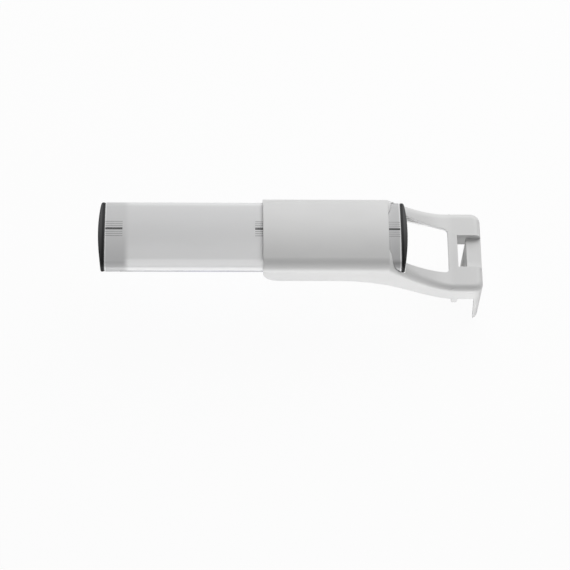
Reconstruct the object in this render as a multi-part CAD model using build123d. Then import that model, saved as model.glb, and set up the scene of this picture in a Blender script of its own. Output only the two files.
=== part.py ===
from build123d import *
import os

# Clip-on LED light for a small aquarium: a flat clear tube with an LED module inside,
# carried by a white moulded holder whose clip hangs over the rim of the tank's glass.
#
# Frame: +X runs along the lamp from the tank towards the clip, -Y is the front of the
# holder, +Z is up. The origin is the middle of the seat that rests on the glass rim.
# All sizes are in millimetres.

# ---- lamp: clear tube and end caps --------------------------------------------------
lamp_length = 200.0           # over both end caps
lamp_width = 49.0
lamp_height = 16.0
lamp_crown = 2.0              # rise of the roof's middle over its rounded sides
lamp_to_slot = 38.0           # lamp's right tip to the middle of the glass slot
tube_wall = 1.5
cap_rim = 1.6                 # flat rim of a cap, outside the tube
cap_dome = 2.0                # rise of a cap's rounded end face
cap_edge_radius = 0.9
seal_thickness = 0.8
seal_inset = 0.3
collar_length = 6.0           # how far a cap's collar reaches into the tube
collar_wall = 1.4
collar_gap = 0.15

groove_y = 18.4               # the two outside grooves under the tube
groove_width = 2.4
groove_depth = 1.5
groove_wall = 1.2
prong_length = 15.0           # cap fingers that lie in the grooves
prong_side_gap = 0.25
prong_top_gap = 0.2
prong_under = 0.45            # fingers above the tube's underside

# ---- LED module -----------------------------------------------------------------------
module_gap = 0.2              # heat sink to the tube's inner wall
floor_gap = 0.2               # module's lower pieces to the tube's inner floor
sink_wall = 1.0
sink_floor = 1.2
sink_length = 168.0
sink_from_left = 17.0         # from the lamp's left tip

led_height = 5.6              # LED board's lower face above the tube's underside
led_board_length = 104.0
led_board_width = 18.8
led_board_thickness = 1.6
led_board_from_left = 23.0
led_rows_centre = 71.5        # middle of both rows, from the lamp's left tip
white_count = 15
white_pitch = 6.28
white_y = 3.2
colour_count = 10
colour_pitch = 9.68
colour_y = -3.4
blue_places = (4, 5)          # the two middle places of the colour row
led_body_x = 3.5
led_body_y = 2.8
led_body_z = 0.7
led_lens_radius = 1.15
led_lens_height = 0.25

screw_radius = 1.0
screw_hole_gap = 0.1
screw_head_radius = 1.35
screw_head_height = 0.9
screw_y = -0.1
screw_pitch = 39.0

reflector_wall = 0.8
mouth_length = 110.0
mouth_side_gap = 1.2          # to the grooves' ribs inside the tube
throat_length = 93.0
throat_half = 8.6
left_slope = 6.0              # run of the reflector's left end wall
end_cover_length = 5.0
end_cover_gap = 0.4

# ---- driver -----------------------------------------------------------------------------
driver_board_length = 47.0
driver_board_side_gap = 0.6   # to the cover's walls
driver_board_thickness = 1.2
driver_board_from_left = 133.0
pad_thickness = 0.5
pad_inset = 2.0               # from the driver board's edges
cover_from_left = 130.8
cover_length = 54.0
cover_side_gap = 0.4          # to the grooves' ribs inside the tube
cover_wall = 0.7
cover_floor = 0.8
cover_top_gap = 0.1
lead_radius = 0.45
lead_spacing = 3.0
lead_overlap = 2.4            # lead's end under each board
lead_gap = 0.05
lead_slot_gap = 0.3
inductor_radius = 4.0
inductor_height = 2.3
inductor_from_left = 25.85    # from the driver board's left end, as for what follows
inductor_y = 5.5
capacitor_radius = 2.4
capacitor_height = 2.2
capacitor_from_left = 28.2
capacitor_pitch = 6.5
capacitor_y = -7.5
chip_length = 6.0
chip_width = 5.0
chip_height = 1.4
chip_from_left = 9.0
chip_y = -7.0
terminal_length = 8.0
terminal_width = 7.0
terminal_height = 2.2
terminal_from_left = 42.0
terminal_y = 6.0

# ---- cable inlet in the right cap ---------------------------------------------------------
cable_bore_radius = 2.6       # takes a 5 mm round cable
inlet_radius = 3.8
grommet_gap = 0.05
flange_radius = 4.6
flange_thickness = 1.0
flange_gap = 0.1

# ---- holder: sleeve, arms and clip ----------------------------------------------------------
holder_wall = 1.8
sleeve_gap = 0.35             # lamp to sleeve, all round
sleeve_from_left = 106.5      # from the lamp's left tip
sleeve_length = 81.2
sleeve_rise = 21.0            # sleeve's rim above the glass seat
rim_below_lamp = 3.0
sleeve_corner = 10.0          # rounded lower corner at the open end
rim_turn = 31.7               # the rim starts to fall this far before the sleeve's end
rim_bend = 34.2               # how far the fall's start keeps its level direction
rim_settle = 18.0             # and its end, before it meets the clip
rim_flat = 2.0                # level again this far before the clip
lip_width = 3.2
lip_thickness = 1.6
tab_length = 28.0             # wide part of the lip, with a bead in the groove
bead_width = 1.6
bead_top_gap = 0.4
cap_room = 0.35               # holder to the right cap's rounded end

glass_slot = 6.2              # crossbar's edge to the outer jaw
crossbar_width = 6.2
strip_start = 8.2             # arm's top strip beside the sleeve
strip_end = 12.9              # and at the clip
arm_bend = 0.63               # where the arms turn level, as a share of their length
opening_corner = 3.0
sleeve_end_corner = 6.0       # the opening's corners beside the sleeve
arm_stations = 7
clip_half = 29.0
clip_height = 12.8
plate_thickness = 2.4
clip_wall = 2.0
clip_shoulder = 4.5
inner_shoulder = 0.5
clip_run = 12.8               # slot's middle to the end wall's outer face
clip_lead = 6.0               # slot's middle to where the arms meet the clip
clip_corner = 6.5
outer_jaw_depth = 30.0
jaw_return = 5.4              # end wall's wrap round each corner, at the seat
jaw_return_low = 3.4          # and at its lower edge
well_half = 11.6
well_wall = 1.6
crossbar_rib_inset = 1.2      # from the crossbar's edge
crossbar_rib_wall = 1.2
guide_rib_y = 19.0
guide_rib_wall = 1.4
guide_rib_stop = 9.0
outer_pad_wall = 1.8
web_wall = 1.4
web_spacing = 7.0
tooth_length = 4.0
tooth_depth = 5.0
tooth_radius = 1.6
tooth_gap = 0.3

# ---- sprung jaw -------------------------------------------------------------------------------
jaw_thickness = 2.2
jaw_length = 36.0             # hinge axis to tip
jaw_side_gap = 0.4
jaw_top_gap = 0.3
jaw_bulge = 1.5
jaw_bulge_from_tip = 9.0
jaw_tip_back = 0.6
jaw_tip_thickness = 1.54
jaw_straight = 12.0           # upper part of the leaf, before its bow
trunnion_radius = 0.8
trunnion_gap = 0.05
trunnion_end_gap = 0.3

# ---- places worked out from the sizes above -----------------------------------------------------
lamp_right = -lamp_to_slot
lamp_left = lamp_right - lamp_length
lamp_middle = (lamp_left + lamp_right) / 2
cap_total = cap_rim + cap_dome + seal_thickness
tube_left = lamp_left + cap_total
tube_right = lamp_right - cap_total
rim_start = tube_right + seal_thickness
lamp_under = sleeve_rise + rim_below_lamp
lamp_axis = lamp_under + lamp_height / 2
dome_radius = ((lamp_width / 2) ** 2 + cap_dome**2) / (2 * cap_dome)
lamp_side_radius = (lamp_height - lamp_crown) / 2
side_y = lamp_width / 2 - lamp_side_radius
side_axis = lamp_under + lamp_side_radius
crown_radius = (side_y**2 + (lamp_side_radius + lamp_crown) ** 2 - lamp_side_radius**2) / (2 * lamp_crown)
boss_width = groove_width + 2 * groove_wall
boss_height = groove_depth + groove_wall
cover_half = groove_y - boss_width / 2 - cover_side_gap
mouth_half = groove_y - boss_width / 2 - mouth_side_gap
driver_board_half = cover_half - cover_wall - driver_board_side_gap

module_under = lamp_under + tube_wall + floor_gap
led_face = lamp_under + led_height
sink_under = led_face + led_board_thickness
sink_left = lamp_left + sink_from_left
led_board_left = lamp_left + led_board_from_left
led_middle = lamp_left + led_rows_centre
driver_left = lamp_left + driver_board_from_left
driver_under = sink_under - pad_thickness - driver_board_thickness
cover_left = lamp_left + cover_from_left
throat_left = led_middle - throat_length / 2
mouth_left = throat_left - left_slope

sleeve_left = lamp_left + sleeve_from_left
sleeve_right = sleeve_left + sleeve_length
sleeve_half = lamp_width / 2 + sleeve_gap + holder_wall
sleeve_top = lamp_axis + lamp_height / 2 + sleeve_gap + holder_wall
sleeve_shoulder = lamp_side_radius + sleeve_gap + holder_wall
arm_start_top = side_axis + sleeve_shoulder
slot_half = glass_slot / 2
crossbar_left = -slot_half - crossbar_width
well_right = clip_run - clip_wall
outer_pad_top = clip_height - clip_shoulder
plate_under = clip_height - plate_thickness
hinge_x = -slot_half - jaw_thickness / 2
hinge_z = plate_under - jaw_top_gap - jaw_thickness / 2


# ---- helpers --------------------------------------------------------------------------------------
def block(x0, x1, y0, y1, z0, z1):
    """A box between two corners."""
    middle = Pos((x0 + x1) / 2, (y0 + y1) / 2, (z0 + z1) / 2)
    return middle * Box(x1 - x0, y1 - y0, z1 - z0)


def both_sides(x0, x1, y0, y1, z0, z1):
    """The same box on the front and the rear."""
    return block(x0, x1, y0, y1, z0, z1) + block(x0, x1, -y1, -y0, z0, z1)


def along_x(sketch, x0, x1):
    """A section drawn about the lamp's axis, run from x0 to x1."""
    return extrude(Plane.YZ.offset(x0) * Pos(0, lamp_axis) * sketch, x1 - x0)


def across_y(points_face, half):
    """A side profile drawn in X and Z, run to the same distance each side of the middle."""
    return extrude(Plane.XZ * points_face, half, both=True)


def x_cylinder(radius, x0, x1, y, z):
    """A round bar along X."""
    return Pos((x0 + x1) / 2, y, z) * Rot(0, 90, 0) * Cylinder(radius, x1 - x0)


def y_cylinder(radius, y0, y1, x, z):
    """A round bar along Y."""
    return Pos(x, (y0 + y1) / 2, z) * Rot(90, 0, 0) * Cylinder(radius, y1 - y0)


def z_cylinder(radius, z0, z1, x, y):
    """A round bar along Z."""
    return Pos(x, y, (z0 + z1) / 2) * Cylinder(radius, z1 - z0)


def lamp_outline(inset):
    """The lamp's section, moved inwards by inset, or outwards where it is negative.

    It is flat below, round at the sides and slightly crowned on top.
    """
    low = -lamp_height / 2 + inset
    high = lamp_height / 2 - inset
    side = lamp_side_radius - inset
    crown = crown_radius - inset
    side_z = low + side
    lean = side_y / (crown - side)
    joint = (crown * lean, high - crown + crown * (1 - lean**2) ** 0.5)
    right = ThreePointArc((side_y, low), (side_y + side, side_z), joint)
    roof = ThreePointArc(joint, (0, high), (-joint[0], joint[1]))
    left = ThreePointArc((-joint[0], joint[1]), (-side_y - side, side_z), (-side_y, low))
    return make_face([right, roof, left, Line((-side_y, low), (side_y, low))])


def at_grooves(width, height):
    """Two upright strips on the grooves' middles, from the lamp's underside upwards."""
    middle = height / 2 - lamp_height / 2
    strip = Rectangle(width, height)
    return Pos(-groove_y, middle) * strip + Pos(groove_y, middle) * strip


def upper_part(z):
    """A large rectangle that covers the lamp's section above the height z."""
    height = lamp_height
    return Pos(0, z - lamp_axis + height / 2) * Rectangle(lamp_width, height)


def row(count, pitch, y):
    """The middles of a row of diodes along the board."""
    first = led_middle - pitch * (count - 1) / 2
    return [(first + pitch * i, y) for i in range(count)]


# ---- lamp -------------------------------------------------------------------------------------------
def make_tube():
    inside = lamp_outline(tube_wall) - at_grooves(boss_width, boss_height)
    section = lamp_outline(0) - inside - at_grooves(groove_width, groove_depth)
    return along_x(section, tube_left, tube_right)


def make_seal():
    """Flat rubber gasket between the right cap and the tube's end."""
    inside = lamp_outline(tube_wall) - at_grooves(boss_width, boss_height)
    section = lamp_outline(seal_inset) - inside - at_grooves(groove_width, groove_depth)
    return along_x(section, tube_right, rim_start)


def make_cap():
    """Right cap, without the cable inlet."""
    shell = along_x(lamp_outline(0), rim_start, lamp_right)
    shell &= z_cylinder(dome_radius, 0, 2 * lamp_axis, lamp_right - dome_radius, 0)
    shell = fillet(shell.faces().sort_by(Axis.X)[-1].edges(), cap_edge_radius)
    collar_outside = tube_wall + collar_gap
    section = lamp_outline(collar_outside) - lamp_outline(collar_outside + collar_wall)
    section -= at_grooves(boss_width + 2 * collar_gap, boss_height + collar_wall + groove_wall)
    shell += along_x(section, tube_right - collar_length, rim_start)
    prong_half = groove_width / 2 - prong_side_gap
    shell += both_sides(
        rim_start - prong_length, rim_start, groove_y - prong_half, groove_y + prong_half,
        lamp_under + prong_under, lamp_under + groove_depth - prong_top_gap)
    return shell


def make_right_cap():
    cap = make_cap() - x_cylinder(inlet_radius, rim_start - 1, lamp_right + 1, 0, lamp_axis)
    seat = flange_radius + flange_gap
    return cap - x_cylinder(seat, lamp_right - flange_thickness, lamp_right + 1, 0, lamp_axis)


def make_grommet():
    """Rubber bush in the right cap: outer flange, waist and inner flange round a plain bore."""
    outer = x_cylinder(flange_radius, lamp_right - flange_thickness, lamp_right, 0, lamp_axis)
    waist_radius = inlet_radius - grommet_gap
    waist = x_cylinder(waist_radius, rim_start, lamp_right, 0, lamp_axis)
    inner = x_cylinder(flange_radius, rim_start - flange_thickness, rim_start, 0, lamp_axis)
    bore_left = rim_start - flange_thickness - 1
    return outer + waist + inner - x_cylinder(cable_bore_radius, bore_left, lamp_right + 1, 0, lamp_axis)


def to_left(piece):
    """The same piece at the lamp's left end."""
    return mirror(piece, Plane.YZ.offset(lamp_middle))


# ---- LED module ---------------------------------------------------------------------------------------
def screw_places():
    return [(led_middle + screw_pitch * i, screw_y) for i in (-1, 0, 1)]


def screw_holes():
    radius = screw_radius + screw_hole_gap
    top = sink_under + sink_floor + 1
    return [z_cylinder(radius, led_face - 1, top, x, y) for x, y in screw_places()]


def make_heat_sink():
    """Extruded tray under the tube's roof, with a flat floor that carries the boards."""
    outside = tube_wall + module_gap
    arch = lamp_outline(outside) - lamp_outline(outside + sink_wall)
    floor_middle = sink_under - lamp_axis + sink_floor / 2
    floor = Pos(0, floor_middle) * Rectangle(lamp_width, sink_floor)
    section = (arch & upper_part(sink_under)) + (floor & lamp_outline(outside + sink_wall / 2))
    return along_x(section, sink_left, sink_left + sink_length) - screw_holes()


def make_led_board():
    half = led_board_width / 2
    right = led_board_left + led_board_length
    return block(led_board_left, right, -half, half, led_face, sink_under) - screw_holes()


def make_diodes(places):
    """One diode under each place: a square body and its round lens."""
    diodes = []
    for x, y in places:
        under = led_face - led_body_z
        body = block(x - led_body_x / 2, x + led_body_x / 2,
                     y - led_body_y / 2, y + led_body_y / 2, under, led_face)
        diodes.append(body + z_cylinder(led_lens_radius, under - led_lens_height, under, x, y))
    return diodes


def make_screws():
    screws = []
    for x, y in screw_places():
        head = z_cylinder(screw_head_radius, led_face - screw_head_height, led_face, x, y)
        screws.append(head + z_cylinder(screw_radius, led_face, sink_under + sink_floor, x, y))
    return screws


def flared_box(grow):
    """The reflector's space, from its mouth at the tube's floor up to its throat at the board."""
    faces = []
    for left, length, half, z in (
        (mouth_left, mouth_length, mouth_half, module_under),
        (throat_left, throat_length, throat_half, led_face),
    ):
        faces.append(Pos(left + length / 2, 0, z) * Rectangle(length + 2 * grow, 2 * (half + grow)))
    return loft(faces, ruled=True)


def make_reflector():
    return flared_box(reflector_wall) - flared_box(0)


def open_box(left, right):
    """A tray with low walls that closes the module's underside."""
    top = sink_under - cover_top_gap
    outside = block(left, right, -cover_half, cover_half, module_under, top)
    half = cover_half - cover_wall
    return outside - block(left + cover_wall, right - cover_wall, -half, half,
                           module_under + cover_floor, top + 1)


def make_end_cover():
    right = mouth_left - reflector_wall - end_cover_gap
    return open_box(right - end_cover_length, right)


# ---- driver ---------------------------------------------------------------------------------------------
def make_driver_cover():
    cover = open_box(cover_left, cover_left + cover_length)
    slot_half_width = lead_spacing / 2 + lead_radius + lead_slot_gap
    slot_under = driver_under - lead_gap - 2 * lead_radius - lead_slot_gap
    return cover - block(cover_left - 1, cover_left + 1, -slot_half_width, slot_half_width,
                         slot_under, sink_under)


def make_driver_board():
    half = driver_board_half
    right = driver_left + driver_board_length
    return block(driver_left, right, -half, half, driver_under, driver_under + driver_board_thickness)


def make_thermal_pad():
    half = driver_board_half - pad_inset
    left = driver_left + pad_inset
    right = driver_left + driver_board_length - pad_inset
    return block(left, right, -half, half, sink_under - pad_thickness, sink_under)


def under_board(from_left, y, length, width, height):
    """A square component hanging under the driver board."""
    x = driver_left + from_left
    return block(x - length / 2, x + length / 2, y - width / 2, y + width / 2,
                 driver_under - height, driver_under)


def make_inductor():
    x = driver_left + inductor_from_left
    return z_cylinder(inductor_radius, driver_under - inductor_height, driver_under, x, inductor_y)


def make_capacitors():
    first = driver_left + capacitor_from_left
    under = driver_under - capacitor_height
    places = (first, first + capacitor_pitch)
    return [z_cylinder(capacitor_radius, under, driver_under, x, capacitor_y) for x in places]


def make_leads():
    left = led_board_left + led_board_length - lead_overlap
    z = driver_under - lead_gap - lead_radius
    ys = (-lead_spacing / 2, lead_spacing / 2)
    return [x_cylinder(lead_radius, left, driver_left + lead_overlap, y, z) for y in ys]


# ---- holder -----------------------------------------------------------------------------------------------
def arm_section(share, wall, thickness, below):
    """The arms' outline at a share of the way from the sleeve to the clip, moved in by the walls."""
    rest = 1 - share
    bend_x = sleeve_right - (clip_lead + sleeve_right) * arm_bend
    x = rest**2 * sleeve_right + 2 * rest * share * bend_x - share**2 * clip_lead
    top = rest**2 * arm_start_top + (1 - rest**2) * clip_height
    half = sleeve_half + (clip_half - sleeve_half) * share
    shoulder = clip_shoulder + (sleeve_shoulder - clip_shoulder) * rest**2
    half -= wall
    top -= thickness
    shoulder = max(shoulder - wall, inner_shoulder)
    with BuildSketch(Plane.YZ.offset(x)) as section:
        with BuildLine():
            Line((-half, below), (half, below))
            Line((half, below), (half, top - shoulder))
            RadiusArc((half, top - shoulder), (half - shoulder, top), -shoulder)
            Line((half - shoulder, top), (shoulder - half, top))
            RadiusArc((shoulder - half, top), (-half, top - shoulder), -shoulder)
            Line((-half, top - shoulder), (-half, below))
        make_face()
    return section.sketch


def arms_solid(walls, below):
    """The arms as one filled body; with walls, the space inside them."""
    sections = []
    for i in range(arm_stations):
        share = i / (arm_stations - 1)
        wall = (holder_wall + (clip_wall - holder_wall) * share) * walls
        thickness = (holder_wall + (plate_thickness - holder_wall) * share) * walls
        sections.append(arm_section(share, wall, thickness, below))
    return loft(sections)


def sleeve_solid(inset, under):
    """The sleeve as one filled body round the lamp, open or closed downwards to the height under."""
    half = sleeve_half - inset
    skirt_height = side_axis - under
    skirt = Pos(0, side_axis - lamp_axis - skirt_height / 2) * Rectangle(2 * half, skirt_height)
    outline = lamp_outline(inset - sleeve_gap - holder_wall)
    return along_x(outline + skirt, sleeve_left, sleeve_right)


def clip_solid(inset, under, top):
    """The clip's block with its rounded corners, moved in by inset."""
    left = -clip_lead
    right = clip_run - inset
    half = clip_half - inset
    corner = clip_corner - inset
    body = block(left, right, -half, half, under, top)
    uprights = body.edges().filter_by(Axis.Z).sort_by(Axis.X)[-2:]
    return fillet(uprights, corner)


def rim_edge(lift):
    """The holder's lower edge in X and Z, from the sleeve down to the clip."""
    turn = sleeve_right - rim_turn
    high = sleeve_rise + lift
    end = -clip_lead - rim_flat
    level = Line((sleeve_left, high), (turn, high))
    fall = Bezier((turn, high), (turn + rim_bend, high), (end - rim_settle, lift), (end, lift))
    return level, fall


def below_rim():
    """Everything under the holder's lower edge, up to the clip."""
    level, fall = rim_edge(0)
    deep = -2.0
    close = Polyline(fall @ 1, (fall @ 1) + (0, deep), (sleeve_left, deep), level @ 0)
    return across_y(make_face([level, fall, close]), 2 * clip_half)


def make_lips(skin):
    """The flange turned inwards along the lower edge, cut to the skin's outside."""
    level, fall = rim_edge(0)
    upper_level, upper_fall = rim_edge(lip_thickness)
    ends = [Line(fall @ 1, upper_fall @ 1), Line(upper_level @ 0, level @ 0)]
    band = across_y(make_face([level, fall, upper_level, upper_fall] + ends), 2 * clip_half)
    inner = sleeve_half - lip_width
    return (band & skin) - block(lamp_left, clip_run, -inner, inner, -1, sleeve_top)


def make_tabs():
    """Two wide tabs at the sleeve's open end, each with a bead that runs in the lamp's groove."""
    right = sleeve_left + tab_length
    low = sleeve_rise
    flange_inner = groove_y - bead_width / 2
    bead_top = lamp_under + groove_depth - bead_top_gap
    flange = both_sides(sleeve_left, right, flange_inner, sleeve_half - holder_wall / 2,
                        low, low + lip_thickness)
    return flange + both_sides(sleeve_left, right, flange_inner, groove_y + bead_width / 2,
                               low, bead_top)


def make_outer_jaw():
    """The end wall below the seat, its wraps round the corners and the webbed pad before it."""
    wall = clip_solid(0, -outer_jaw_depth, 0) - clip_solid(clip_wall, -outer_jaw_depth - 1, 1)
    beyond = -2 * clip_lead
    low = -outer_jaw_depth
    inner = Polyline((beyond, 0), (clip_run - jaw_return, 0), (clip_run - jaw_return_low, low),
                     (beyond, low), close=True)
    wall -= across_y(make_face(inner), clip_half)
    pad_right = slot_half + outer_pad_wall
    jaw = wall + block(slot_half, pad_right, -well_half, well_half, -outer_jaw_depth, outer_pad_top)
    jaw += block(slot_half, well_right, -well_half, well_half, outer_pad_top - web_wall, outer_pad_top)
    for step in (-1, 0, 1):
        y = step * web_spacing
        jaw += block(pad_right, well_right, y - web_wall / 2, y + web_wall / 2,
                     -outer_jaw_depth, outer_pad_top)
    return jaw


def make_teeth():
    """Short rounded teeth on the side walls, on the tank's side of the glass."""
    right = -slot_half - tooth_gap
    left = right - tooth_length
    teeth = both_sides(left, right, clip_half - clip_wall, clip_half, -tooth_depth, 1)
    corners = teeth.edges().filter_by(Axis.Y).group_by(Axis.Z)[0]
    return fillet(corners, tooth_radius)


def make_holder():
    skin = sleeve_solid(0, 0) + arms_solid(0, 0)
    clip = clip_solid(0, 0, clip_height)
    clip = fillet(clip.faces().sort_by(Axis.Z)[-1].edges().sort_by(Axis.X)[1:], clip_shoulder)
    skin += clip
    inside = sleeve_solid(holder_wall, -1) + arms_solid(1, -1) + clip_solid(clip_wall, -1, plate_under)
    holder = skin - inside
    lamp_room = along_x(lamp_outline(-sleeve_gap), sleeve_left - 1, lamp_right + cap_room)
    dome_room = z_cylinder(dome_radius + cap_room, 0, 2 * lamp_axis, lamp_right - dome_radius, 0)
    holder -= lamp_room & dome_room
    holder += make_lips(skin)

    opening_left = sleeve_half - strip_start
    opening_right = clip_half - strip_end
    outline = Polyline((sleeve_right, -opening_left), (crossbar_left, -opening_right),
                       (crossbar_left, opening_right), (sleeve_right, opening_left), close=True)
    opening = extrude(make_face(outline), sleeve_top)
    opening = fillet(opening.edges().filter_by(Axis.Z).sort_by(Axis.X)[-2:], opening_corner)
    opening = fillet(opening.edges().filter_by(Axis.Z).sort_by(Axis.X)[:2], sleeve_end_corner)
    holder -= opening
    holder -= below_rim()
    holder += make_tabs()
    beyond = sleeve_half + 1
    corner_block = block(sleeve_left - 1, sleeve_left + sleeve_corner, -beyond, beyond,
                         sleeve_rise - 1, sleeve_rise + sleeve_corner)
    corner_round = y_cylinder(sleeve_corner, -beyond, beyond, sleeve_left + sleeve_corner,
                              sleeve_rise + sleeve_corner)
    holder -= corner_block - corner_round

    well_top = plate_under + plate_thickness / 2
    rib_left = crossbar_left + crossbar_rib_inset
    holder += both_sides(rib_left, well_right + clip_wall / 2, well_half, well_half + well_wall,
                         0, well_top)
    holder += both_sides(rib_left, guide_rib_stop, guide_rib_y, guide_rib_y + guide_rib_wall,
                         0, well_top)
    side = clip_half - clip_wall / 2
    holder += block(rib_left, rib_left + crossbar_rib_wall, -side, side, 0, well_top)
    holder -= block(-slot_half, well_right, -well_half, well_half, -1, clip_height + 1)
    holder += make_outer_jaw()
    holder -= block(well_right - 1, clip_run + 1, -well_half, well_half, outer_pad_top, clip_height)
    holder += make_teeth()
    hole = trunnion_radius + trunnion_gap
    reach = well_half + well_wall + 0.5
    return holder - y_cylinder(hole, -reach, reach, hinge_x, hinge_z)


def make_jaw():
    """Sprung inner jaw: a slightly bowed leaf that hangs from two short trunnions."""
    half = well_half - jaw_side_gap
    tip = hinge_z - jaw_length
    bow = tip + jaw_bulge_from_tip
    face = -slot_half
    back = face - jaw_thickness
    straight = hinge_z - jaw_straight
    right = Spline((face, hinge_z), (face, straight), (face + jaw_bulge, bow),
                   (face - jaw_tip_back, tip))
    left = Spline((back, hinge_z), (back, straight), (back + jaw_bulge, bow),
                  (face - jaw_tip_back - jaw_tip_thickness, tip))
    ends = [Line(right @ 1, left @ 1), Line(left @ 0, right @ 0)]
    leaf = across_y(make_face([right, left] + ends), half)
    leaf += y_cylinder(jaw_thickness / 2, -half, half, hinge_x, hinge_z)
    reach = well_half + well_wall - trunnion_end_gap
    return leaf + y_cylinder(trunnion_radius, -reach, reach, hinge_x, hinge_z)


# ---- every node ---------------------------------------------------------------------------
colour_places = row(colour_count, colour_pitch, colour_y)
nodes = {
    "lamp_tube": make_tube(),
    "end_cap_left": to_left(make_cap()),
    "end_cap_right": make_right_cap(),
    "end_seal_left": to_left(make_seal()),
    "end_seal_right": make_seal(),
    "cable_grommet": make_grommet(),
    "heat_sink": make_heat_sink(),
    "led_board": make_led_board(),
    "white_leds": make_diodes(row(white_count, white_pitch, white_y)),
    "red_leds": make_diodes([p for i, p in enumerate(colour_places) if i not in blue_places]),
    "blue_leds": make_diodes([p for i, p in enumerate(colour_places) if i in blue_places]),
    "board_screws": make_screws(),
    "reflector": make_reflector(),
    "end_cover": make_end_cover(),
    "driver_board": make_driver_board(),
    "thermal_pad": make_thermal_pad(),
    "inductor": make_inductor(),
    "capacitors": make_capacitors(),
    "driver_chip": under_board(chip_from_left, chip_y, chip_length, chip_width, chip_height),
    "terminal_block": under_board(terminal_from_left, terminal_y, terminal_length, terminal_width,
                                  terminal_height),
    "driver_cover": make_driver_cover(),
    "lead_wires": make_leads(),
    "holder": make_holder(),
    "clip_jaw": make_jaw(),
}

os.makedirs("parts", exist_ok=True)
for name, shape in nodes.items():
    solids = shape if isinstance(shape, list) else shape.solids()
    export_step(Compound(children=list(solids)), f"parts/{name}.step")
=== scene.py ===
import math

import bmesh
import bpy
from mathutils import Matrix, Vector


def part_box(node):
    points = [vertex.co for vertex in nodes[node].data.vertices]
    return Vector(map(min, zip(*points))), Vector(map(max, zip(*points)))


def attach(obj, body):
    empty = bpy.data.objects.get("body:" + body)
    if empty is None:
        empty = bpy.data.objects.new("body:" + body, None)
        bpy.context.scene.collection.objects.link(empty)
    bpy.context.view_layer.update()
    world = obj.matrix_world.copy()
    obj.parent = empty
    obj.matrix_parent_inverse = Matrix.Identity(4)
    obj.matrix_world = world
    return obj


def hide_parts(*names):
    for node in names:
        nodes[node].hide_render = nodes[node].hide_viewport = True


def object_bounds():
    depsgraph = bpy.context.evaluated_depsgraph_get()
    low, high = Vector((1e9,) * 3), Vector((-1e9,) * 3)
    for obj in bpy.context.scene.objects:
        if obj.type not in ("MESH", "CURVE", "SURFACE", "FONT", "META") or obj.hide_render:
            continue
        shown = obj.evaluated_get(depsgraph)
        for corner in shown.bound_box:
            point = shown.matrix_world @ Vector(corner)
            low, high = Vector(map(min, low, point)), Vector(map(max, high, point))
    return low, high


# The looks of a clip-on aquarium light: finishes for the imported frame's pieces, and the
# small parts that only the looks need. Everything is in metres, in the frame's own place.

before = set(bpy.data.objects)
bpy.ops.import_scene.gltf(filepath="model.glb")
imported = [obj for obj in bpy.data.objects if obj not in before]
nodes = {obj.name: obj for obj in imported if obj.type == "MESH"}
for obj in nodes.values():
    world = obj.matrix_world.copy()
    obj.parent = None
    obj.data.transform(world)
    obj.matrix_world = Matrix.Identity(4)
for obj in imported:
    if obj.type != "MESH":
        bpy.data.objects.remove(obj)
cad_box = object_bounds()
MM = 0.001


# ---- shader wires --------------------------------------------------------------------------
class Wire:
    """One output of a shader node. Operators add Math nodes, and node() adds any other node."""

    def __init__(self, tree, socket=None):
        self.tree = tree
        self.socket = socket

    def node(self, kind, settings=None, values=None, output=0):
        """A new node of a kind, with its settings and its sockets' values or wires."""
        made = self.tree.nodes.new(kind)
        for key, value in (settings or {}).items():
            if key == "stops":
                ramp = made.color_ramp
                while len(ramp.elements) < len(value):
                    ramp.elements.new(0.5)
                for element, (position, colour) in zip(ramp.elements, value):
                    element.position = position
                    element.color = (*colour, 1.0)
            else:
                setattr(made, key, value)
        for key, value in (values or {}).items():
            if isinstance(value, Wire):
                self.tree.links.new(value.socket, made.inputs[key])
            else:
                made.inputs[key].default_value = value
        return Wire(self.tree, made.outputs[output] if made.outputs else None)

    def maths(self, operation, *values):
        """A Math node on values and wires."""
        return self.node("ShaderNodeMath", {"operation": operation}, dict(enumerate(values)))

    def __add__(self, other):
        return self.maths("ADD", self, other)

    def __radd__(self, other):
        return self.maths("ADD", other, self)

    def __sub__(self, other):
        return self.maths("SUBTRACT", self, other)

    def __rsub__(self, other):
        return self.maths("SUBTRACT", other, self)

    def __mul__(self, other):
        return self.maths("MULTIPLY", self, other)

    def __rmul__(self, other):
        return self.maths("MULTIPLY", other, self)

    def __truediv__(self, other):
        return self.maths("DIVIDE", self, other)

    def __rtruediv__(self, other):
        return self.maths("DIVIDE", other, self)

    def __lt__(self, other):
        return self.maths("LESS_THAN", self, other)

    def __gt__(self, other):
        return self.maths("GREATER_THAN", self, other)

    def __abs__(self):
        return self.maths("ABSOLUTE", self)

    def top(self, other):
        """The larger of two values."""
        return self.maths("MAXIMUM", self, other)

    def rise(self, start, end):
        """0 up to start and 1 from end on, with a smooth step between."""
        return self.node(
            "ShaderNodeMapRange",
            {"interpolation_type": "SMOOTHSTEP"},
            {"Value": self, "From Min": start, "From Max": end},
        )

    def blend(self, low, high):
        """A colour between two, this value being the share of the second."""
        return self.node(
            "ShaderNodeMix", {"data_type": "RGBA"}, {0: self, 6: rgba(low), 7: rgba(high)}, 2
        )

    def noise(self, scale, detail=3.0, roughness=0.55, stretch=(1, 1, 1)):
        """Noise on this place, with features 1/scale metres wide, drawn out by stretch."""
        place = self
        if stretch != (1, 1, 1):
            place = self.node("ShaderNodeMapping", None, {"Vector": self, "Scale": stretch})
        return self.node(
            "ShaderNodeTexNoise",
            None,
            {"Vector": place, "Scale": scale, "Detail": detail, "Roughness": roughness},
        )

    def part(self, axis):
        """One axis of this place, in metres."""
        return self.node("ShaderNodeSeparateXYZ", None, {"Vector": self}, axis)


def rgba(colour):
    """A colour with its alpha, or a wire as it is."""
    return colour if isinstance(colour, Wire) else (*colour, 1.0)


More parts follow.
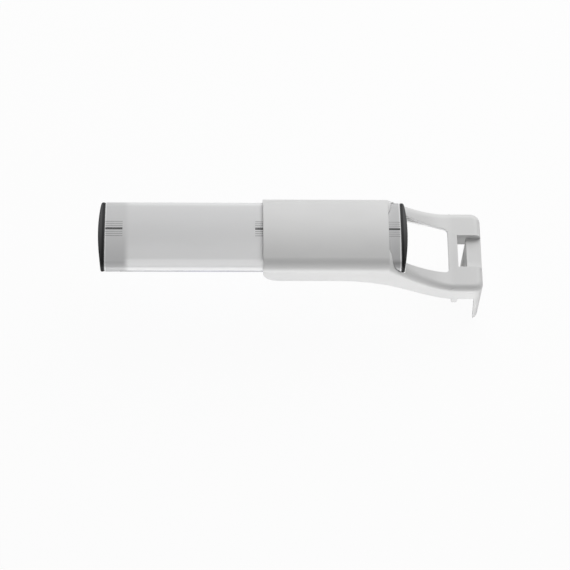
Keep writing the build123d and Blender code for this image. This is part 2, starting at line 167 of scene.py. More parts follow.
def new_material(name):
    """An empty material, and a wire that carries the object coordinates in it."""
    material = bpy.data.materials.new(name)
    material.use_nodes = True
    tree = material.node_tree
    tree.nodes.clear()
    place = Wire(tree).node("ShaderNodeTexCoord", output="Object")
    return material, place


def close(material, shader):
    """Gives the material its output, joined to the last shader, and hands it back."""
    shader.node("ShaderNodeOutputMaterial", None, {"Surface": shader})
    return material


def principled(place, inputs):
    """The surface of every finish, with values or wires for its sockets."""
    return place.node("ShaderNodeBsdfPrincipled", None, inputs)


def rounded(place, radius):
    """Normals rounded over a piece's edges."""
    return place.node("ShaderNodeBevel", {"samples": 4}, {"Radius": radius})


def edge_share(round_normal):
    """How near to an edge a point lies, from how far its rounded normal leans."""
    flat = round_normal.node("ShaderNodeNewGeometry", output="Normal")
    facing = round_normal.node(
        "ShaderNodeVectorMath", {"operation": "DOT_PRODUCT"}, {0: round_normal, 1: flat}, 1
    )
    return (1.0 - facing).rise(0.02, 0.35)


def bumped(height, normal, distance):
    """A normal that follows small heights."""
    return height.node(
        "ShaderNodeBump",
        None,
        {"Strength": 1.0, "Distance": distance, "Height": height, "Normal": normal},
    )


def is_side(place):
    """1 on faces that stand upright, such as a board's cut edges."""
    return abs(place.node("ShaderNodeNewGeometry", output="Normal").part("Z")) < 0.5


# ---- places that the finishes follow -------------------------------------------------------
sink_lo, sink_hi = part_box("heat_sink")
tube_lo, tube_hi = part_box("lamp_tube")
led_lo, led_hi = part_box("led_board")
white_lo, white_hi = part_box("white_leds")
red_lo, red_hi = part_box("red_leds")
blue_lo, blue_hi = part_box("blue_leds")
tube_half = (tube_hi.x - tube_lo.x) / 2
tube_middle = tube_lo.x + tube_half
blue_x = (blue_lo.x + blue_hi.x) / 2

# Where a tone on the tube starts to change and where the change is complete; most of these tones
# are painted light and shade.
WINDOW_LEFT = (-224.5 * MM, -222.5 * MM)
WINDOW_RIGHT = (-108.5 * MM, -104.0 * MM)
SINK_LEFT = (sink_lo.x - 1 * MM, sink_lo.x + 4 * MM)
SINK_RIGHT = (sink_hi.x, sink_hi.x + 1 * MM)
CUT_END = (tube_half - 1.0 * MM, tube_half - 0.5 * MM)
ROOF_UP = (sink_lo.z - 1.2 * MM, sink_lo.z + 0.2 * MM)
FLANK_UP = (tube_lo.z + 11 * MM, tube_hi.z - 0.6 * MM)
SHOULDER_UP = (tube_lo.z + 10 * MM, tube_lo.z + 13 * MM)
SHOULDER_OUT = (18.5 * MM, 22 * MM)
SHOULDER_END = (24.2 * MM, 24.5 * MM)
ROOF_EDGE = (20 * MM, 23 * MM)
FRONT_HALF = (-20 * MM, 6 * MM)

# The end caps' painted light and shade: their face's place outside the tube, and their tone from
# front to back.
CAP_FACE = (1.5 * MM, 2.2 * MM)
CAP_BACK = (-22 * MM, 14 * MM)

# The diodes, from their pitch along the board to the dome over their cup.
WHITE_PITCH = 6.28 * MM
COLOUR_PITCH = 9.68 * MM
HALF_DIODE = 1.75 * MM
HALF_DIODE_ACROSS = 1.4 * MM
DIODE_HEIGHT = 0.7 * MM
DIODE_BEVEL = 0.12 * MM
CUP_RIM = 0.28 * MM
CUP_SLOPE = 0.18 * MM
CUP_DEPTH = 0.22 * MM
DOME_RADIUS = 1.1 * MM
DOME_FLATNESS = 0.42
DOME_SEAT = 0.49 * MM
DOME_TONES = (0.08 * MM, 0.36 * MM)
CUP_TONES = (0.05 * MM, 0.6 * MM)

# The diodes' light on board and reflector: from a place on, or from a diode's middle out.
RED_REACH = 2.4 * MM
WHITE_REACH = 3.2 * MM
BLUE_REACH = (3 * MM, 30 * MM)
RED_FROM_BLUE = (7 * MM, 9 * MM)
RED_TO_WHITE = (-7 * MM, 5 * MM)
LEFT_LIGHT = (led_lo.x - 3 * MM, led_lo.x + 2 * MM)
RIGHT_LIGHT = (led_hi.x - 2 * MM, led_hi.x + 3 * MM)

# The LED board's copper lanes, which lie outside its middle band.
LANE_PITCH = 1.55 * MM
LANE_BAND = (5.2 * MM, 5.4 * MM)


# ---- finishes ------------------------------------------------------------------------------
def moulded(
    name, colour, roughness, grain, depth, mottle, radius, wear=0.0, specular=0.5, shade=None
):
    """Moulded plastic or rubber: fine grain, faint flow marks, handling marks, soft edges.

    The grain's size, its depth and the edges' radius are in millimetres.
    """
    material, place = new_material(name)
    round_normal = rounded(place, radius * MM)
    edge = edge_share(round_normal)
    flow = place.noise(55.0, 2.0, 0.5, (0.35, 1, 1))
    speck = place.noise(1 / (grain * MM), 2.0, 0.6)
    marks = place.noise(150.0, 5.0, 0.7, (1, 0.4, 1))
    rub = marks.rise(0.55, 0.8)
    dark = tuple(c * (1 - 2.2 * mottle) for c in colour)
    light = tuple(min(1.0, c * (1 + 1.2 * mottle)) for c in colour)
    base = (flow * 0.75 + speck * 0.25).rise(0.3, 0.7).blend(dark, light)
    worn = tuple(min(0.9, c + 0.12) for c in colour)
    base = (edge * wear).blend(base, worn)
    # Where a shade is given, it paints light and shade over the base by place.
    if shade:
        base = shade(place, base)
    shader = principled(
        place,
        {
            "Base Color": base,
            "Roughness": roughness + rub * 0.06 + speck * 0.05 + edge * 0.05,
            "Specular IOR Level": specular,
            "Normal": bumped(speck * 0.7 + marks * 0.3, round_normal, depth * MM),
        },
    )
    return close(material, shader)


def cap_painted_shade(place, base):
    """An end cap's painted light and shade: darkest in its rim beside the tube, paler over its
    domed face, both paler towards the back.
    """
    past_tube = abs(place.part("X") - tube_middle) - tube_half
    back = place.part("Y").rise(*CAP_BACK)
    # Painted shade: the rim beside the tube goes nearly black towards the front.
    rim = (0.1 + back * 0.9).blend((0.003, 0.003, 0.003), base)
    # Painted light: the domed face is paler, most of all towards the back.
    face = past_tube.rise(*CAP_FACE) * (0.35 + back * 0.65)
    return face.blend(rim, (0.085, 0.085, 0.087))


def tube_zones(place):
    """Shares of the tube's zones, by place: how far a point lies in each of them; most zones
    carry painted light and shade.
    """
    x = place.part("X")
    across = abs(place.part("Y"))
    z = place.part("Z")
    right_end = x.rise(*SINK_RIGHT)
    front = 1.0 - place.part("Y").rise(*FRONT_HALF)
    over_sink = x.rise(*SINK_LEFT) * (1.0 - right_end)
    window = x.rise(*WINDOW_LEFT) * (1.0 - x.rise(*WINDOW_RIGHT))
    roof = z.rise(*ROOF_UP)
    shoulder = across.rise(*SHOULDER_OUT) * (1.0 - 0.45 * across.rise(*SHOULDER_END))
    shoulder = shoulder * (0.3 + over_sink * 0.7 - right_end * 0.3)
    return {
        # The front half: painted paler, with deeper painted shade in the ends and a stronger
        # painted glow.
        "front": front,
        # Painted shade: the tube's ends past the heat sink go darker, most at the front.
        "end": (1.0 - over_sink) * (0.22 + front * 0.42) + right_end * 0.33,
        # A painted highlight along the tube's cut ends.
        "end_highlight": abs(x - tube_middle).rise(*CUT_END),
        # Below this the tube's flank is painted paler, as if lit.
        "flank": z.rise(*FLANK_UP),
        "coated": (1.0 - window).top(roof),
        "level": (0.4 + front * 0.3) * (1.0 - across.rise(*ROOF_EDGE)) * roof,
        # A painted glow along the tube's long shoulders, stronger over the sink and at the front.
        "shoulder": shoulder * z.rise(*SHOULDER_UP) * (0.25 + front * 0.6),
    }


def clear_tube():
    """Clear extruded acrylic, silvery grey behind its roof and ends and clear round the diodes,
    with painted light and shade by place.
    """
    material, place = new_material("clear_tube")
    round_normal = rounded(place, 0.3 * MM)
    edge = edge_share(round_normal)
    zone = tube_zones(place)
    draw = place.noise(900.0, 2.0, 0.6, (0.012, 1, 1))
    dust = place.noise(2600.0, 4.0, 0.75).rise(0.62, 0.8)
    haze = place.noise(40.0, 3.0, 0.6, (0.4, 1, 1)).rise(0.35, 0.75)
    mica = place.noise(5200.0, 2.0, 0.5).rise(0.35, 0.7)
    silver_and_painted_light = (haze * 0.5 + mica * 0.5).blend((0.80, 0.802, 0.806), (0.86, 0.862, 0.865))
    # Painted light and shade: paler flanks and front, painted shade in the ends, a painted
    # highlight at the cut ends.
    silver_and_painted_light = zone["flank"].blend((0.90, 0.902, 0.905), silver_and_painted_light)
    silver_and_painted_light = (zone["front"] * 0.9).blend(silver_and_painted_light, (0.95, 0.952, 0.955))
    silver_and_painted_light = zone["end"].blend(silver_and_painted_light, (0.45, 0.45, 0.455))
    silver_and_painted_light = (zone["end_highlight"] * 0.8).blend(silver_and_painted_light, (0.95, 0.952, 0.955))
    evened = place.node(
        "ShaderNodeMix",
        {"data_type": "VECTOR"},
        {0: zone["level"], 4: round_normal, 5: (0, 0, 1)},
        1,
    )
    evened = evened.node("ShaderNodeVectorMath", {"operation": "NORMALIZE"}, {0: evened})
    gloss = principled(
        place,
        {
            "Base Color": zone["coated"].blend((0.76, 0.765, 0.77), silver_and_painted_light),
            "Roughness": 0.30 + haze * 0.08 + dust * 0.2,
            "Normal": bumped(draw * 0.8 + haze * 0.2, evened, 0.015 * MM),
            # A painted glow along the tube's long shoulders.
            "Emission Color": zone["shoulder"].blend((0.0, 0.0, 0.0), (1.0, 1.0, 1.0)),
            "Emission Strength": 0.34,
        },
    )
    through = place.node("ShaderNodeBsdfTransparent", None, {"Color": (0.965, 0.97, 0.97, 1)})
    rim = place.node("ShaderNodeLayerWeight", None, {"Blend": 0.3}, "Fresnel")
    clear = 0.16 + rim * 0.5 + haze * 0.03 + dust * 0.05 + edge * 0.08
    share = clear.top(zone["coated"] * 0.93)
    shader = place.node("ShaderNodeMixShader", None, {0: share, 1: through, 2: gloss})
    return close(material, shader)


def satin_aluminium():
    """Anodised aluminium profile, drawn along X."""
    material, place = new_material("sink_metal")
    round_normal = rounded(place, 0.2 * MM)
    edge = edge_share(round_normal)
    draw = place.noise(1500.0, 3.0, 0.65, (0.01, 1, 1))
    cloud = place.noise(30.0, 3.0, 0.5)
    base = (draw * 0.6 + cloud * 0.4).rise(0.3, 0.7).blend((0.60, 0.60, 0.61), (0.69, 0.69, 0.70))
    shader = principled(
        place,
        {
            "Base Color": (edge * 0.6).blend(base, (0.82, 0.82, 0.83)),
            "Metallic": 0.45,
            "Roughness": 0.42 + draw * 0.12,
            "Normal": bumped(draw, round_normal, 0.03 * MM),
        },
    )
    return close(material, shader)


def plain_metal(name, colour, roughness, drawn=(1, 1, 1)):
    """Bright metal with fine tool marks and a dull film in places."""
    material, place = new_material(name)
    round_normal = rounded(place, 0.08 * MM)
    edge = edge_share(round_normal)
    marks = place.noise(4000.0, 4.0, 0.7, drawn)
    film = place.noise(500.0, 3.0, 0.6)
    dull = tuple(c * 0.78 for c in colour)
    shader = principled(
        place,
        {
            "Base Color": (film * 0.6 + edge * 0.4).rise(0.3, 0.75).blend(dull, colour),
            "Metallic": 1.0,
            "Roughness": roughness + marks * 0.15,
            "Normal": bumped(marks, round_normal, 0.01 * MM),
        },
    )
    return close(material, shader)


def glow_of(place):
    """The light that the diodes throw on what is near them, by place along and across.

    Gives its colour, and how far it drowns the tone of the piece that it falls on.
    """
    x = place.part("X")
    ends = 1.0 - x.rise(*LEFT_LIGHT) + x.rise(*RIGHT_LIGHT)
    near_blue = 1.0 - abs(x - blue_x).rise(*BLUE_REACH)
    white_side = place.part("Y").rise(*RED_TO_WHITE)
    violet = near_blue * (1.0 - 0.7 * white_side)
    cool = white_side.blend((0.10, 0.08, 0.26), (0.05, 0.17, 0.36))
    between = violet.blend(cool, (0.10, 0.06, 1.0))
    return ends.blend(between, (0.52, 0.56, 0.56)), (ends * 0.35).top(violet)


def bloom(place, row_lo, row_hi, pitch, reach):
    """1 at each diode of a row, falling to 0 at a distance from its middle."""
    cell = (place.part("X") - (row_lo.x + HALF_DIODE)) / pitch
    along = (cell - cell.maths("ROUND", cell)) * pitch
    across = place.part("Y") - (row_lo.y + row_hi.y) / 2
    away = along * along + across * across
    return 1.0 - away.maths("SQRT", away).rise(DOME_RADIUS, reach)


def lit_board():
    """White solder resist over copper, washed by the diodes' light."""
    material, place = new_material("led_board_face")
    round_normal = rounded(place, 0.08 * MM)
    y = place.part("Y")
    glow, drowned = glow_of(place)
    weave = place.node(
        "ShaderNodeTexBrick",
        {"offset": 0.5},
        {"Vector": place, "Scale": 900.0, "Mortar Size": 0.02, "Mortar Smooth": 0.6},
        "Fac",
    )
    lanes = abs(y.maths("FRACT", y / LANE_PITCH) - 0.5)
    copper = (1.0 - lanes.rise(0.16, 0.24)) * abs(y).rise(*LANE_BAND)
    grain = place.noise(1800.0, 3.0, 0.6)
    mask = (copper * 0.6 + grain * 0.3).blend((0.50, 0.55, 0.60), (0.60, 0.65, 0.70))
    mask = (drowned * 0.6).blend(mask, (0.30, 0.30, 0.42))
    pink = bloom(place, red_lo, red_hi, COLOUR_PITCH, RED_REACH) * 0.5
    pink = pink * abs(place.part("X") - blue_x).rise(*RED_FROM_BLUE)
    white = bloom(place, white_lo, white_hi, WHITE_PITCH, WHITE_REACH) * 0.8
    glow = white.blend(pink.blend(glow, (0.70, 0.10, 0.17)), (0.72, 0.86, 0.92))
    shader = principled(
        place,
        {
            "Base Color": is_side(place).blend(mask, (0.52, 0.55, 0.50)),
            "Roughness": 0.32 + grain * 0.12 + weave * 0.05,
            "Emission Color": glow,
            "Emission Strength": 0.85,
            "Normal": bumped(copper * 0.8 + grain * 0.2, round_normal, 0.05 * MM),
        },
    )
    return close(material, shader)


def reflector_white():
    """Bright white reflector plastic that carries the diodes' glow."""
    material, place = new_material("reflector_plastic")
    round_normal = rounded(place, 0.2 * MM)
    glow, drowned = glow_of(place)
    flow = place.noise(70.0, 3.0, 0.55)
    grain = place.noise(3000.0, 2.0, 0.6)
    white = flow.rise(0.3, 0.7).blend((0.72, 0.72, 0.73), (0.77, 0.77, 0.78))
    shader = principled(
        place,
        {
            "Base Color": (drowned * 0.6).blend(white, (0.34, 0.33, 0.45)),
            "Roughness": 0.30 + grain * 0.10,
            "Emission Color": glow,
            "Emission Strength": 0.95,
            "Normal": bumped(grain * 0.6 + flow * 0.4, round_normal, 0.02 * MM),
        },
    )
    return close(material, shader)


def circuit_board(name, resist):
    """A small circuit board: resist over copper lanes, bare laminate at its edges."""
    material, place = new_material(name)
    round_normal = rounded(place, 0.08 * MM)
    cells = place.node(
        "ShaderNodeTexVoronoi",
        {"feature": "DISTANCE_TO_EDGE", "distance": "MANHATTAN"},
        {"Vector": place, "Scale": 420.0, "Randomness": 0.75},
    )
    lane = 1.0 - cells.rise(0.05, 0.09)
    grain = place.noise(2200.0, 3.0, 0.6)
    lit = tuple(min(1.0, c * 1.6 + 0.02) for c in resist)
    face = (lane * 0.7 + grain * 0.3).blend(resist, lit)
    shader = principled(
        place,
        {
            "Base Color": is_side(place).blend(face, (0.40, 0.37, 0.22)),
            "Roughness": 0.30 + grain * 0.15,
            "Normal": bumped(lane + grain * 0.1, round_normal, 0.04 * MM),
        },
    )
    return close(material, shader)


def lit_package(name, colour, glow, strength):
    """A diode's moulded cup, flooded by its own light and dimmer towards the board."""
    material, place = new_material(name)
    round_normal = rounded(place, 0.08 * MM)
    grain = place.noise(8000.0, 2.0, 0.6)
    dim = tuple(c * 0.35 for c in glow)
    pale = tuple(min(1.0, c * 1.03) for c in colour)
    depth = (place.part("Z") - (led_lo.z - DIODE_HEIGHT)).rise(*CUP_TONES)
    shader = principled(
        place,
        {
            "Base Color": grain.blend(colour, pale),
            "Roughness": 0.40 + grain * 0.08,
            "Emission Color": depth.blend(glow, dim),
            "Emission Strength": strength,
            "Normal": bumped(grain, round_normal, 0.005 * MM),
        },
    )
    return close(material, shader)


def diode_lens(name, core, halo, strength):
    """A lit diode's lens: white hot in the middle and coloured towards its rim."""
    material, place = new_material(name)
    grain = place.noise(5000.0, 2.0, 0.5)
    crown = led_lo.z - DOME_SEAT - place.part("Z")
    shader = principled(
        place,
        {
            "Base Color": grain.blend((0.78, 0.74, 0.52), (0.86, 0.80, 0.58)),
            "Roughness": 0.12 + grain * 0.1,
            "Emission Color": crown.rise(*DOME_TONES).blend(halo, core),
            "Emission Strength": strength,
        },
    )
    return close(material, shader)


def ink(name, colour):
    """Screen-printed ink: matt, and slightly uneven in tone."""
    material, place = new_material(name)
    grain = place.noise(6000.0, 3.0, 0.7)
    thin = place.noise(900.0, 3.0, 0.6).rise(0.3, 0.75)
    pale = tuple(min(1.0, c * 1.35 + 0.015) for c in colour)
    shader = principled(
        place, {"Base Color": thin.blend(colour, pale), "Roughness": 0.45 + grain * 0.2}
    )
    return close(material, shader)


finishes = {
    "clear_tube": clear_tube(),
    "cap_plastic": moulded(
        "cap_plastic", (0.03, 0.03, 0.031), roughness=0.40, grain=0.12, depth=0.02,
        mottle=0.15, radius=0.3, wear=0.1, specular=0.16, shade=cap_painted_shade,
    ),
    "seal_rubber": moulded(
        "seal_rubber", (0.022, 0.022, 0.023), roughness=0.62, grain=0.15, depth=0.03,
        mottle=0.12, radius=0.1,
    ),
    "grommet_rubber": moulded(
        "grommet_rubber", (0.013, 0.013, 0.014), roughness=0.66, grain=0.1, depth=0.03,
        mottle=0.15, radius=0.2,
    ),
    "sink_metal": satin_aluminium(),
    "led_board_face": lit_board(),
    "driver_board_face": circuit_board("driver_board_face", (0.02, 0.14, 0.05)),
    "white_diode": lit_package("white_diode", (0.80, 0.79, 0.76), (0.92, 0.98, 1.0), 0.65),
    "red_diode": lit_package("red_diode", (0.62, 0.50, 0.50), (0.90, 0.12, 0.18), 0.45),
    "blue_diode": lit_package("blue_diode", (0.30, 0.28, 0.50), (0.16, 0.06, 0.75), 0.6),
    "screw_steel": plain_metal("screw_steel", (0.62, 0.61, 0.59), 0.24),
    "reflector_plastic": reflector_white(),
    "cover_plastic": moulded(
        "cover_plastic", (0.38, 0.38, 0.384), roughness=0.42, grain=0.18, depth=0.015,
        mottle=0.03, radius=0.25,
    ),
    "pad_silicone": moulded(
        "pad_silicone", (0.32, 0.40, 0.50), roughness=0.7, grain=0.2, depth=0.03,
        mottle=0.08, radius=0.1,
    ),
    "ferrite": moulded(
        "ferrite", (0.045, 0.043, 0.042), roughness=0.55, grain=0.12, depth=0.03,
        mottle=0.15, radius=0.15, wear=0.3,
    ),
    "capacitor_can": plain_metal("capacitor_can", (0.72, 0.72, 0.73), 0.28, (1, 1, 0.05)),
    "chip_epoxy": moulded(
        "chip_epoxy", (0.02, 0.02, 0.021), roughness=0.5, grain=0.1, depth=0.02,
        mottle=0.1, radius=0.08, wear=0.2,
    ),
    "terminal_plastic": moulded(
        "terminal_plastic", (0.05, 0.20, 0.09), roughness=0.4, grain=0.15, depth=0.015,
        mottle=0.08, radius=0.15,
    ),
    "lead_insulation": moulded(
        "lead_insulation", (0.50, 0.02, 0.02), roughness=0.35, grain=0.2, depth=0.01,
        mottle=0.05, radius=0.1,
    ),
    "holder_plastic": moulded(
        "holder_plastic", (0.80, 0.80, 0.797), roughness=0.36, grain=0.22, depth=0.012,
        mottle=0.012, radius=0.35,
    ),
}
slot_of = {
    "lamp_tube": "clear_tube",
    "end_cap_left": "cap_plastic",
    "end_cap_right": "cap_plastic",
    "end_seal_left": "seal_rubber",
    "end_seal_right": "seal_rubber",
    "cable_grommet": "grommet_rubber",
    "heat_sink": "sink_metal",
    "led_board": "led_board_face",
    "white_leds": "white_diode",
    "red_leds": "red_diode",
    "blue_leds": "blue_diode",
    "board_screws": "screw_steel",
    "reflector": "reflector_plastic",
    "end_cover": "cover_plastic",
    "driver_cover": "cover_plastic",
    "driver_board": "driver_board_face",
    "thermal_pad": "pad_silicone",
    "inductor": "ferrite",
    "capacitors": "capacitor_can",
    "driver_chip": "chip_epoxy",
    "terminal_block": "terminal_plastic",
    "lead_wires": "lead_insulation",
    "holder": "holder_plastic",
    "clip_jaw": "holder_plastic",
}
for name, node in nodes.items():
    node.data.materials.clear()
    node.data.materials.append(finishes[slot_of[name]])


# ---- small parts ---------------------------------------------------------------------------
def as_mesh(name, shape):
    """The finished mesh of a bmesh."""
    mesh = bpy.data.meshes.new(name)
    shape.to_mesh(mesh)
    shape.free()
    return mesh


def as_object(name, data):
    """An object in the scene that carries a mesh, a light or a camera."""
    made = bpy.data.objects.new(name, data)
    bpy.context.scene.collection.objects.link(made)
    return made


def finish_piece(name, shape, material, slot, body="lamp", smooth=False):
    """Turns a bmesh into a piece that rides on a body, with its faces pointing outwards."""
    bmesh.ops.recalc_face_normals(shape, faces=shape.faces)
    mesh = as_mesh(name, shape)
    if smooth:
        mesh.shade_smooth()
    piece = as_object(name, mesh)
    mesh.materials.append(material)
    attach(piece, body)
    return piece


def add_box(shape, lo, hi, bevel=0.0):
    """A box between two corners, with its edges broken where a bevel is given."""
    size = Vector(hi) - Vector(lo)
    middle = (Vector(hi) + Vector(lo)) / 2
    made = bmesh.ops.create_cube(
        shape, size=1.0, matrix=Matrix.Translation(middle) @ Matrix.Diagonal((*size, 1.0))
    )["verts"]
    if bevel:
        bmesh.ops.bevel(
            shape, geom=list({e for v in made for e in v.link_edges}), offset=bevel,
            offset_type="OFFSET", segments=2, profile=0.5, affect="EDGES", material=-1,
        )


def add_copies(shape, template, places):
    """Adds a finished mesh at each place."""
    for place in places:
        start = len(shape.verts)
        shape.from_mesh(template)
        shape.verts.ensure_lookup_table()
        bmesh.ops.translate(shape, verts=shape.verts[start:], vec=place)


# The stripes' runs on the tube's roof, which keep an inset from the tube's ends.
PRINT_LIFT = 0.02 * MM
ROOF_RADIUS = 84.56 * MM
STRIPE_INSET = 0.4 * MM
LEFT_RUN = 11.0 * MM
RIGHT_RUN_START = -136.6 * MM

# Each stripe's middle and its width, across the tube.
MAIN_STRIPES = [(1.5 * MM, 1.55 * MM)]
FINE_STRIPES = [(y * MM, 0.36 * MM) for y in (6.7, 5.2, 3.7, -0.7, -2.2, -3.7)]


def roof_height(y):
    """Height of the tube's slightly crowned roof at a distance from its middle."""
    return tube_hi.z - ROOF_RADIUS + math.sqrt(ROOF_RADIUS**2 - y**2)


def add_stripes(name, stripes, colour):
    """Stripes that lie along the tube's roof, in a short run at the left and a long one."""
    left = tube_lo.x + STRIPE_INSET
    runs = [(left, left + LEFT_RUN), (RIGHT_RUN_START, tube_hi.x - STRIPE_INSET)]
    shape = bmesh.new()
    for y, width in stripes:
        for x0, x1 in runs:
            start = len(shape.verts)
            add_box(shape, (x0, y - width / 2, 0), (x1, y + width / 2, PRINT_LIFT))
            shape.verts.ensure_lookup_table()
            for corner in shape.verts[start:]:
                corner.co.z += roof_height(corner.co.y)
    finish_piece(name, shape, ink(name, colour), "clear_tube")


add_stripes("main_stripe", MAIN_STRIPES, (0.012, 0.012, 0.013))
add_stripes("fine_stripes", FINE_STRIPES, (0.24, 0.24, 0.245))


def diode_centres(node, pitch):
    """The middles of a row's diodes, worked out from the node's own box."""
    lo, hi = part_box(node)
    count = round((hi.x - lo.x - 2 * HALF_DIODE) / pitch) + 1
    y = (lo.y + hi.y) / 2
    return [Vector((lo.x + HALF_DIODE + i * pitch, y, 0.0)) for i in range(count)]


def diode_body():
    """One diode's moulded cup: a block with broken edges and a sloping well in its lower face."""
    shape = bmesh.new()
    add_box(
        shape,
        (-HALF_DIODE, -HALF_DIODE_ACROSS, led_lo.z - DIODE_HEIGHT),
        (HALF_DIODE, HALF_DIODE_ACROSS, led_lo.z),
        DIODE_BEVEL,
    )
    lower = min(shape.faces, key=lambda f: f.calc_center_median().z)
    bmesh.ops.inset_region(shape, faces=[lower], thickness=CUP_RIM, use_even_offset=True)
    bmesh.ops.inset_region(
        shape, faces=[lower], thickness=CUP_SLOPE, depth=-CUP_DEPTH, use_even_offset=True
    )
    return as_mesh("diode_body", shape)


def diode_dome():
    """One diode's low dome of clear resin, lit from behind."""
    shape = bmesh.new()
    bmesh.ops.create_uvsphere(shape, u_segments=20, v_segments=10, radius=DOME_RADIUS)
    bmesh.ops.scale(shape, vec=(1.0, 1.0, DOME_FLATNESS), verts=shape.verts)
    bmesh.ops.bisect_plane(
        shape, geom=shape.verts[:] + shape.edges[:] + shape.faces[:],
        plane_co=(0, 0, 0), plane_no=(0, 0, 1), clear_outer=True,
    )
    bmesh.ops.holes_fill(shape, edges=[e for e in shape.edges if e.is_boundary], sides=0)
    bmesh.ops.translate(shape, verts=shape.verts, vec=(0, 0, led_lo.z - DOME_SEAT))
    return as_mesh("diode_dome", shape)


body_mesh = diode_body()
dome_mesh = diode_dome()
white_places = diode_centres("white_leds", WHITE_PITCH)
blue_places = diode_centres("blue_leds", COLOUR_PITCH)
red_all = diode_centres("red_leds", COLOUR_PITCH)
red_places = [p for p in red_all if all((p - b).length > 1 * MM for b in blue_places)]
rows = {
    "white": (white_places, (1.0, 1.0, 1.0), (0.62, 0.90, 1.0), 5.0, "white_leds"),
    "red": (red_places, (1.0, 0.50, 0.55), (0.95, 0.08, 0.14), 1.3, "red_leds"),
    "blue": (blue_places, (1.0, 0.98, 1.0), (0.16, 0.08, 0.95), 4.0, "blue_leds"),
}
for name, (places, core, halo, strength, node) in rows.items():
    shape = bmesh.new()
    add_copies(shape, body_mesh, places)
    packages = finish_piece(name + "_packages", shape, finishes[name + "_diode"], name + "_diode")
    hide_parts(node)
    shape = bmesh.new()
    add_copies(shape, dome_mesh, places)
    lens = diode_lens(name + "_lens", core, halo, strength)
    finish_piece(name + "_domes", shape, lens, name + "_diode", smooth=True)

# Solder at both ends of each diode, sunk a little into the board.
PAD_OUT = 1.95 * MM
PAD_HALF = (0.35 * MM, 0.9 * MM)
PAD_HEIGHT = 0.12 * MM
PAD_SUNK = 0.01 * MM
PAD_BEVEL = 0.03 * MM

# Chip resistors in a staggered row along the board.
RESISTORS = 7
RESISTOR_START = 9.5 * MM
RESISTOR_PITCH = 14.2 * MM
RESISTOR_ROW = 7.4 * MM
RESISTOR_HALF = (0.75 * MM, 0.42 * MM)
RESISTOR_HEIGHT = 0.5 * MM
RESISTOR_BEVEL = 0.05 * MM
END_OUT = 0.85 * MM
END_HALF = (0.2 * MM, 0.44 * MM)
END_PROUD = 0.01 * MM
END_BEVEL = 0.04 * MM


def add_chip(shape, x, y, half, low, high, bevel):
    """A small block about a place on the board, between two heights."""
    add_box(shape, (x - half[0], y - half[1], low), (x + half[0], y + half[1], high), bevel)


tin = plain_metal("tinned_pads", (0.74, 0.74, 0.72), 0.30)
shape = bmesh.new()
for place in white_places + red_places + blue_places:
    for side in (-1, 1):
        add_chip(shape, place.x + side * PAD_OUT, place.y, PAD_HALF, led_lo.z - PAD_HEIGHT,
                 led_lo.z + PAD_SUNK, PAD_BEVEL)
finish_piece("solder_pads", shape, tin, "screw_steel")

shape = bmesh.new()
ends = bmesh.new()
low = led_lo.z - RESISTOR_HEIGHT
for i in range(RESISTORS):
    x = led_lo.x + RESISTOR_START + RESISTOR_PITCH * i
    y = RESISTOR_ROW * (1 if i % 2 else -1)
    add_chip(shape, x, y, RESISTOR_HALF, low, led_lo.z, RESISTOR_BEVEL)
    for side in (-1, 1):
        add_chip(ends, x + side * END_OUT, y, END_HALF, low - END_PROUD, led_lo.z, END_BEVEL)
finish_piece("chip_resistors", shape, finishes["chip_epoxy"], "chip_epoxy")
finish_piece("resistor_ends", ends, tin, "screw_steel")


# ---- floor, light and camera ---------------------------------------------------------------
WHITE = (1, 1, 1, 1)
FLOOR_HALF = 3.0
FLOOR_GAP = 0.5 * MM
MIDDLE_X = -110 * MM


def ray_kinds(place, *kinds):
    """1 for each of the named kinds of ray."""
    first = place.node("ShaderNodeLightPath", output=kinds[0])
    return [first] + [Wire(first.tree, first.socket.node.outputs[kind]) for kind in kinds[1:]]


def floor_material():
    """Pale floor: white to the camera, clear from below and to the low front light."""
    material, place = new_material("floor")
    camera_ray, shadow_ray = ray_kinds(place, "Is Camera Ray", "Is Shadow Ray")
    behind = place.node("ShaderNodeNewGeometry", output="Backfacing")
    matt = place.node("ShaderNodeBsdfDiffuse", None, {"Color": (0.86, 0.86, 0.86, 1)})
    glow = place.node("ShaderNodeEmission", None, {"Color": WHITE, "Strength": 1.0})
    seen = place.node("ShaderNodeMixShader", None, {0: camera_ray * 0.95, 1: matt, 2: glow})
    clear = place.node("ShaderNodeBsdfTransparent")
    gone = shadow_ray.top(behind)
    return close(material, place.node("ShaderNodeMixShader", None, {0: gone, 1: seen, 2: clear}))


shape = bmesh.new()
bmesh.ops.create_grid(shape, x_segments=1, y_segments=1, size=FLOOR_HALF)
bmesh.ops.translate(shape, verts=shape.verts, vec=(MIDDLE_X, 0, cad_box[0].z - FLOOR_GAP))
floor = as_object("floor", as_mesh("floor", shape))
floor.data.materials.append(floor_material())

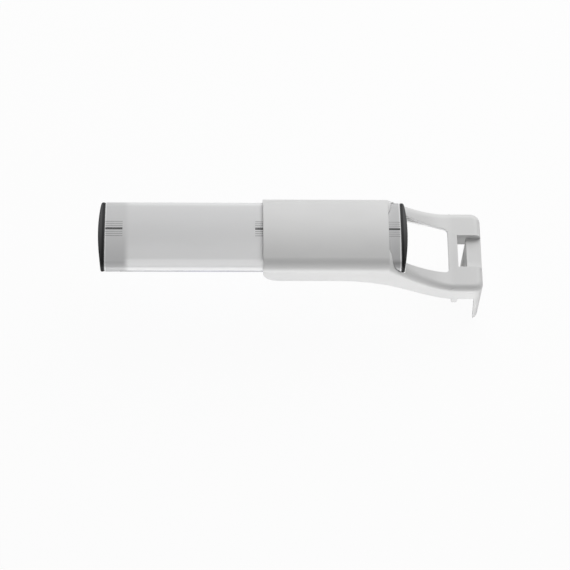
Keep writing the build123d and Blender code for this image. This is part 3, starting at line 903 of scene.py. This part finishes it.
world = bpy.data.worlds.new("studio")
bpy.context.scene.world = world
world.use_nodes = True
world.node_tree.nodes.clear()
sky = Wire(world.node_tree)
camera_ray, glossy_ray = ray_kinds(sky, "Is Camera Ray", "Is Glossy Ray")
ambient = sky.node("ShaderNodeBackground", None, {"Color": WHITE, "Strength": 0.20})
backdrop = sky.node("ShaderNodeBackground", None, {"Color": WHITE, "Strength": 1.0})
seen = camera_ray.top(glossy_ray * 0.55)
sky_mix = sky.node("ShaderNodeMixShader", None, {0: seen, 1: ambient, 2: backdrop})
sky.node("ShaderNodeOutputWorld", None, {"Surface": sky_mix})


def area_light(name, target, azimuth, elevation, distance, wide, high, level):
    """A soft box that gives a facing surface this share of its own colour."""
    a = math.radians(azimuth)
    e = math.radians(elevation)
    back = Vector((math.sin(a) * math.cos(e), -math.cos(a) * math.cos(e), math.sin(e)))
    light = bpy.data.lights.new(name, "AREA")
    light.shape = "RECTANGLE"
    light.size = wide
    light.size_y = high
    light.energy = level * (math.pi * distance) ** 2
    box = as_object(name, light)
    box.location = Vector(target) + back * distance
    box.rotation_mode = "QUATERNION"
    box.rotation_quaternion = (-back).to_track_quat("-Z", "Y")


middle = (MIDDLE_X, 0.0, 20 * MM)
area_light("rear_top_light", middle, azimuth=155, elevation=44, distance=1.3, wide=1.5, high=1.1,
           level=0.84)
area_light("front_low_light", middle, azimuth=0, elevation=-25, distance=1.2, wide=1.2, high=0.5,
           level=0.86)

# The camera's sensor in millimetres, and its focal length in widths of that sensor.
SENSOR = 36.0
FOCAL_WIDTHS = 4.076221


def add_camera(target, elevation, distance, yaw, roll):
    """The camera, looking at the target from the front and above."""
    e = math.radians(elevation)
    a = math.radians(yaw)
    r = math.radians(roll)
    back = Vector((-math.sin(a) * math.cos(e), -math.cos(a) * math.cos(e), math.sin(e)))
    right = Vector((0, 0, 1)).cross(back).normalized()
    up = back.cross(right)
    right, up = math.cos(r) * right + math.sin(r) * up, math.cos(r) * up - math.sin(r) * right
    turn = Matrix((right, up, back)).transposed()
    data = bpy.data.cameras.new("camera")
    data.lens = FOCAL_WIDTHS * SENSOR
    data.sensor_width = SENSOR
    data.clip_start = 0.05
    data.clip_end = 20.0
    camera = as_object("camera", data)
    camera.location = Vector(target) + back * distance
    camera.rotation_mode = "QUATERNION"
    camera.rotation_quaternion = turn.to_quaternion()
    bpy.context.scene.camera = camera


add_camera((-0.117169, -0.029092, 0.020), elevation=63.127, distance=1.504993, yaw=3.416,
           roll=3.181)
bpy.context.scene.view_settings.view_transform = "Standard"
